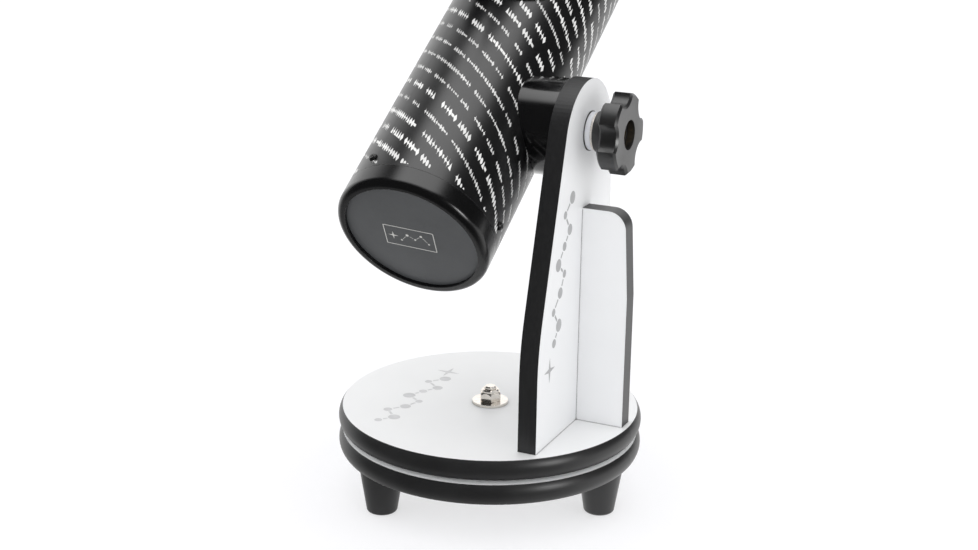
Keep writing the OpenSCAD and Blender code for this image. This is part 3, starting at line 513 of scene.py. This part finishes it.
FINISHES = {
    laminate_deck: "ground_board rocker_board",
    laminate_side: "arm_panel brace_panel",
    rim: "ground_rim rocker_rim",
    arm_tape: "arm_edge_band",
    brace_tape: "brace_edge_band",
    paint: "tube",
    foot_plastic: "feet",
    cell_plastic: "rear_cell front_ring",
    panel_plastic: "rear_panel",
    body_plastic: "mirror_clips secondary_holder focuser_base pinion_cover drawtube eyepiece_body",
    knob_plastic: "clutch_knob focus_knobs",
    hub_plastic: "saddle",
    flat_black: "spider",
    nylon: "glide_pads azimuth_bush altitude_bush nylon_washer friction_disc drawtube_rack",
    zinc: "foot_screws panel_screws clip_screws collimation_screws saddle_screws altitude_stud "
          "focuser_screws pinion_cover_screws pinion_shaft",
    black_oxide: "brace_screws rear_cell_screws front_ring_screws spider_screws",
    nickel_bolt: "azimuth_bolt azimuth_washer azimuth_nut",
    nickel_side: "steel_washer",
    nickel_eyepiece: "thumbscrew eyepiece_barrel",
    brass: "knob_insert",
    mirror_coat(): "primary_mirror secondary_mirror",
    felt(): "mirror_pads",
    lens_glass(): "field_lens eye_lens",
    soft_rubber: "eyecup rubber_washer",
}


def finish_nodes():
    for material, names in FINISHES.items():
        for name in names.split():
            mesh = nodes[name].data
            mesh.materials.clear()
            mesh.materials.append(material)


# ---------------------------------------------------------------- printed decals
PRINT_LIFT = 0.05 * MM
LINE_LIFT = 0.03 * MM
DISC_SIDES = 28
STAR_CORNERS = 8
STAR_WAIST = 0.22


def decal_ink(name, color):
    """Screen-printed ink: thin, slightly uneven, with pinholes."""
    g = Graph(name)
    grain = g.noise(0.5, 4.0, 0.7)
    cloud = g.noise(9.0, 3.0, 0.6)
    base = g.mix(g.spread(cloud), shade(color, 0.9), shade(color, 1.08))
    base = g.mix(g.remap(grain, 0.68, 0.76), base, shade(color, 1.5))
    g.set(Base_Color=base, Roughness=g.spread(grain, 0.45, 0.6), Normal=g.bump(grain, 0.004))
    return g.material


class Decal:
    """Flat printed shapes on a plane, placed in millimetres along two directions from an origin."""

    def __init__(self, name, origin, right, up, material, body):
        self.name, self.material, self.body = name, material, body
        self.origin, self.right, self.up = Vector(origin), right.normalized(), up.normalized()
        self.out = self.right.cross(self.up).normalized()
        self.bm = bmesh.new()

    def face(self, points, lift=PRINT_LIFT):
        places = [self.origin + (self.right * x + self.up * y) * MM + self.out * lift for x, y in points]
        self.bm.faces.new([self.bm.verts.new(p) for p in places])

    def disc(self, x, y, radius):
        angles = [math.tau * i / DISC_SIDES for i in range(DISC_SIDES)]
        self.face([(x + radius * math.cos(a), y + radius * math.sin(a)) for a in angles])

    def line(self, start, end, width):
        run = Vector((end[0] - start[0], end[1] - start[1])).normalized() * (width / 2)
        self.face([(start[0] - run.y, start[1] + run.x), (start[0] + run.y, start[1] - run.x),
                   (end[0] + run.y, end[1] - run.x), (end[0] - run.y, end[1] + run.x)], LINE_LIFT)

    def star(self, x, y, radius):
        points = []
        for i in range(STAR_CORNERS):
            reach = radius * (1.0 if i % 2 == 0 else STAR_WAIST)
            angle = math.tau * i / STAR_CORNERS
            points.append((x + reach * math.sin(angle), y + reach * math.cos(angle)))
        self.face(points)

    def chart(self, places, gap, width):
        """Stars of a made-up constellation, (x, y, radius) each, joined in order by thin lines."""
        for x, y, radius in places:
            self.disc(x, y, radius)
        for (x0, y0, r0), (x1, y1, r1) in zip(places, places[1:]):
            run = Vector((x1 - x0, y1 - y0))
            step = run.normalized()
            start = (x0 + step.x * (r0 + gap), y0 + step.y * (r0 + gap))
            end = (x1 - step.x * (r1 + gap), y1 - step.y * (r1 + gap))
            if run.length > r0 + r1 + 2 * gap:
                self.line(start, end, width)

    def build(self):
        mesh = bpy.data.meshes.new(self.name)
        self.bm.to_mesh(mesh)
        self.bm.free()
        mesh.materials.append(self.material)
        made = bpy.data.objects.new(self.name, mesh)
        bpy.context.scene.collection.objects.link(made)
        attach(made, self.body)


# Made-up charts: (right, up, radius) of each star, in millimetres from the decal's origin
DECK_STARS = [(-52, -62, 2.5), (-45, -53, 4.0), (-55, -43, 2.9), (-47, -33, 3.6), (-43, -21, 2.5),
              (-54, -14, 4.2), (-49, -3, 2.8), (-43, 7, 3.5), (-54, 15, 2.5), (-46, 25, 4.0)]
ARM_STARS = [(-44, 66, 2.9), (-37, 76, 4.2), (-46, 87, 2.6), (-36, 97, 3.6), (-30, 108, 2.6),
             (-40, 116, 4.1), (-31, 126, 2.9), (-23, 135, 3.6), (-31, 146, 2.6), (-20, 155, 4.1)]
LABEL_STARS = [(-6, -3.2, 0.7), (-1.5, 2.2, 1.0), (3.5, -0.6, 0.7), (8, 3.6, 0.9), (12.5, -2.4, 0.7)]
DECK_SPARK, ARM_SPARK, SPARK_RADIUS = (-50, 38), (-50, 50), 8.5
CHART_GAP, CHART_LINE = 1.0, 1.6
LABEL_X, LABEL_UP = -2.0 * MM, -1.5 * MM
LABEL_TURN = math.radians(5)
LABEL_W, LABEL_H, LABEL_LINE = 33.5, 17.0, 0.5
LABEL_GAP, LABEL_CHART_LINE = 0.7, 0.3
LABEL_SPARK_IN, LABEL_SPARK_RADIUS = 5.5, 3.6


def add_chart(name, origin, right, up, level, stars, spark):
    """A grey star chart with one large spark, on the rocker."""
    ink = decal_ink(name.replace("chart", "ink"), (level, level, level + 0.01))
    decal = Decal(name, origin, right, up, ink, "rocker")
    decal.chart(stars, CHART_GAP, CHART_LINE)
    decal.star(*spark, SPARK_RADIUS)
    decal.build()


def add_rear_label():
    """A thin frame round a small chart, on the rear panel."""
    turn = Matrix.Rotation(LABEL_TURN, 3, along_tube)
    origin = tube_origin + along_tube * panel_rear_s + X * LABEL_X + out_of_tube * LABEL_UP
    label = Decal("rear_label", origin, turn @ X, turn @ out_of_tube,
                  decal_ink("label_ink", (0.55, 0.55, 0.53)), "optical_tube")
    half_w, half_h = LABEL_W / 2, LABEL_H / 2
    corners = [(-half_w, -half_h), (half_w, -half_h), (half_w, half_h), (-half_w, half_h)]
    for start, end in zip(corners, corners[1:] + corners[:1]):
        label.line(start, end, LABEL_LINE)
    label.star(-half_w + LABEL_SPARK_IN, 0, LABEL_SPARK_RADIUS)
    label.chart(LABEL_STARS, LABEL_GAP, LABEL_CHART_LINE)
    label.build()


# ---------------------------------------------------------------- stage, light and camera
FLOOR_SIDE = 12.0
FLOOR_GLOW = 0.60
FLOOR_WHITE = (0.415, 0.415, 0.435)
FLOOR_BOUNCE = grey(0.9)
MIRRORED_FRONT_Y, MIRRORED_BACK_Y = -0.22, 0.0
MIRRORED_FRONT, MIRRORED_BACK = 0.06, 1.2


def floor_shader():
    """Pale floor, partly self-lit to the camera. Its reflection is dark in front and white behind."""
    g = Graph("floor_white")
    path = g.ray()
    tone = g.spread(g.noise(400.0, 2.0, 0.5), 0.995, 1.0)
    seen = g.mix(path["Is Camera Ray"], FLOOR_BOUNCE, FLOOR_WHITE)
    g.set(Base_Color=g.mix(1.0, seen, g.combine(tone, tone, tone), "MULTIPLY"), Roughness=0.9,
          Specular_IOR_Level=0.0, Emission_Color=WHITE,
          Emission_Strength=g.times(path["Is Camera Ray"], FLOOR_GLOW))
    mirrored = g.remap(g.dot(g.coords(), Y), MIRRORED_FRONT_Y, MIRRORED_BACK_Y,
                       MIRRORED_FRONT, MIRRORED_BACK, True)
    emission = g.node("ShaderNodeEmission", Color=WHITE, Strength=mirrored)
    chosen = g.node("ShaderNodeMixShader")
    g.put(chosen.inputs[0], path["Is Glossy Ray"])
    g.put(chosen.inputs[1], g.shader.outputs[0])
    g.put(chosen.inputs[2], emission.outputs[0])
    g.put(g.out.inputs["Surface"], chosen.outputs[0])
    return g.material


def add_floor():
    mesh = bpy.data.meshes.new("floor")
    side = FLOOR_SIDE
    mesh.from_pydata([(-side, -side, 0), (side, -side, 0), (side, side, 0), (-side, side, 0)],
                     [], [(0, 1, 2, 3)])
    floor = bpy.data.objects.new("floor", mesh)
    mesh.materials.append(floor_shader())
    bpy.context.scene.collection.objects.link(floor)


def add_area(name, place, target, size, power):
    """A box light seen only in reflections."""
    data = bpy.data.lights.new(name, "AREA")
    data.shape = "RECTANGLE"
    data.size, data.size_y = size
    data.energy = power
    lamp = bpy.data.objects.new(name, data)
    lamp.location = place
    lamp.rotation_euler = (Vector(target) - Vector(place)).to_track_quat("-Z", "Y").to_euler()
    lamp.visible_camera = False
    lamp.visible_diffuse = False
    bpy.context.scene.collection.objects.link(lamp)


class WorldGraph(Graph):
    """The same helper on the world's node tree."""

    def __init__(self, world):
        world.use_nodes = True
        self.tree = world.node_tree
        self.start("ShaderNodeOutputWorld", "ShaderNodeBackground")


# Light by direction: the pale wall behind fades in over these ranges of y, z and x, and the
# overhead box ends over TOP_EDGE of its own slope from straight up
STUDIO_DARK = 0.05
WALL_LIGHT = 1.2
WALL_FROM_Y, WALL_UNDER_Z, WALL_LEFT_OF_X = (-0.05, 0.25), (0.50, 0.92), (0.1, 0.45)
TOP_LIGHT = 3.1
TOP_X, TOP_Y = 0.05, 0.1
TOP_EDGE = (0.35, 0.65)
TOP_LOWEST = 0.05
DIFFUSE_LOW_Z, DIFFUSE_LOW, DIFFUSE_TOP = -0.2, 0.82, 1.32


def fade_out(g, value, ends):
    """1 under the first of two ends, falling smoothly to 0 at the second."""
    return g.remap(value, *ends, 1.0, 0.0, True)


def add_world():
    """White to the camera, soft light from all round, and a dark studio with a pale wall in reflections."""
    world = bpy.data.worlds.new("world")
    bpy.context.scene.world = world
    world.cycles.sampling_method = "NONE"
    g = WorldGraph(world)
    direction = g.tree.nodes.new("ShaderNodeTexCoord").outputs["Generated"]
    x, y, z = g.node("ShaderNodeSeparateXYZ", Vector=direction).outputs
    wall = g.times(g.remap(y, *WALL_FROM_Y, 0.0, 1.0, True), fade_out(g, z, WALL_UNDER_Z))
    wall = g.times(g.times(wall, fade_out(g, x, WALL_LEFT_OF_X)), WALL_LIGHT)
    height = g.math("MAXIMUM", z, TOP_LOWEST)
    across = g.math("ABSOLUTE", g.math("SUBTRACT", g.math("DIVIDE", x, height), TOP_X))
    deep = g.math("ABSOLUTE", g.math("SUBTRACT", g.math("DIVIDE", y, height), TOP_Y))
    top = g.times(fade_out(g, across, TOP_EDGE), fade_out(g, deep, TOP_EDGE))
    glossy = g.add(g.add(wall, g.times(top, TOP_LIGHT)), STUDIO_DARK)
    diffuse = g.remap(z, DIFFUSE_LOW_Z, 1.0, DIFFUSE_LOW, DIFFUSE_TOP)
    path = g.ray()
    strength = g.pick(path["Is Camera Ray"], g.pick(path["Is Glossy Ray"], diffuse, glossy), 1.0)
    g.set(Color=WHITE, Strength=strength)


BOX_PLACE, BOX_TARGET = (1.3, -0.50, 0.42), (0.0, 0.0, 0.05)
BOX_SIZE, BOX_POWER = (0.35, 0.55), 7

CAMERA_FROM_AXIS = Vector((0.4505, -0.9876, 0.0))
CAMERA_ABOVE_DECK = 0.4315
CAMERA_YAW, CAMERA_PITCH, CAMERA_ROLL = (math.radians(a) for a in (24.63, 17.49, 0.88))
CAMERA_SENSOR, CAMERA_LENS = 36.0, 63.68


def add_camera():
    data = bpy.data.cameras.new("camera")
    data.sensor_width = CAMERA_SENSOR
    data.lens = CAMERA_LENS
    data.clip_start, data.clip_end = 0.02, 50.0
    camera = bpy.data.objects.new("camera", data)
    turn = (Matrix.Rotation(CAMERA_YAW, 3, "Z") @ Matrix.Rotation(math.pi / 2 - CAMERA_PITCH, 3, "X")
            @ Matrix.Rotation(CAMERA_ROLL, 3, "Z"))
    place = Vector((azimuth_axis.x, azimuth_axis.y, deck_z + CAMERA_ABOVE_DECK)) + CAMERA_FROM_AXIS
    camera.matrix_world = Matrix.Translation(place) @ turn.to_4x4()
    bpy.context.scene.collection.objects.link(camera)
    bpy.context.scene.camera = camera


finish_nodes()
add_chart("deck_chart", (azimuth_axis.x, azimuth_axis.y, deck_z), X, Y, 0.66, DECK_STARS, DECK_SPARK)
add_chart("arm_chart", (arm_out_x, azimuth_axis.y, deck_z), Y, Z, 0.44, ARM_STARS, ARM_SPARK)
add_rear_label()
add_floor()
add_world()
add_area("right_box", BOX_PLACE, BOX_TARGET, BOX_SIZE, BOX_POWER)
add_camera()
bpy.context.scene.view_settings.view_transform = "Standard"
